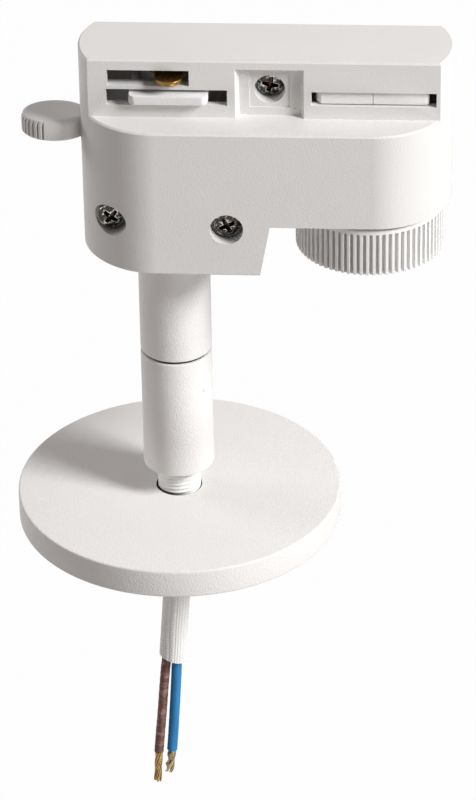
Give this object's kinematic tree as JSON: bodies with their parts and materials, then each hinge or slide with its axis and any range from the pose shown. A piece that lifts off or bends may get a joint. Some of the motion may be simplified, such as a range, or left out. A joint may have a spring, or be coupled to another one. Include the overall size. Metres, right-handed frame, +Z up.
{
  "type": "track light adapter",
  "caption": "White track adapter with locking lugs, a lever and a ribbed knob, above a swivel stem with a round disc and a sleeved cord, for hanging a lamp from a power track",
  "frame": {"origin": "middle of the head's top face, which lies against the floor of the track", "axes": "+X along the track from the lever's end to the knob's end, +Z up into the track, -Y towards the face with the screws"},
  "size_m": [0.1005, 0.0754, 0.2028],
  "materials": {
    "white_plastic": "satin moulded white",
    "white_paint": "fine powder coat",
    "dark_steel": "dark nickel",
    "zinc_steel": "zinc plated",
    "brass": "bright",
    "seam_fibre": "matt",
    "white_sleeve": "woven sleeve",
    "brown_insulation": "satin",
    "blue_insulation": "satin",
    "copper": "bare strands"
  },
  "bodies": {
    "housing": {"front_shell": "white_plastic", "rear_shell": "white_plastic", "head_screw": "dark_steel", "corner_screw": "dark_steel", "inner_screw": "dark_steel", "line_wiper": "brass", "neutral_wiper": "brass", "line_lead": "brown_insulation", "neutral_lead": "blue_insulation", "cord_clamp": "white_plastic", "clamp_screws": "zinc_steel", "stem_nipple": "zinc_steel", "stem_washer": "zinc_steel", "stem_nut": "zinc_steel", "upper_stem": "white_paint", "seam_washer": "seam_fibre", "swivel_bolt": "zinc_steel", "swivel_spring": "zinc_steel", "stem_sleeve": "white_sleeve", "cord_sleeve": "white_sleeve", "brown_wire": "brown_insulation", "blue_wire": "blue_insulation", "brown_strands": "copper", "blue_strands": "copper"},
    "lever": {"contact_rotor": "white_plastic", "line_contact": "brass", "lock_lever": "white_plastic", "lever_washer": "zinc_steel", "lever_screw": "zinc_steel"},
    "knob": {"lock_rotor": "white_plastic", "neutral_contact": "brass", "lock_knob": "white_plastic", "knob_washer": "zinc_steel", "knob_screw": "zinc_steel", "knob_cap": "white_plastic"},
    "swivel": {"lower_stem": "white_paint", "stem_bush": "zinc_steel", "disc_nipple": "white_paint", "canopy_disc": "white_paint", "disc_washer": "zinc_steel", "disc_nut": "zinc_steel"}
  },
  "joints": [
    {"name": "lever_turn", "type": "hinge", "parent": "housing", "child": "lever", "pos_m": [-0.0214, 0, -0.02], "axis": [0, 0, -1], "range_deg": [0, 90]},
    {"name": "knob_turn", "type": "hinge", "parent": "housing", "child": "knob", "pos_m": [0.023, 0, -0.04], "axis": [0, 0, 1], "range_deg": [0, 90]},
    {"name": "stem_swivel", "type": "hinge", "parent": "housing", "child": "swivel", "pos_m": [-0.0214, 0, -0.0786], "axis": [0, 0, 1], "range_deg": [-175, 175]}
  ]
}
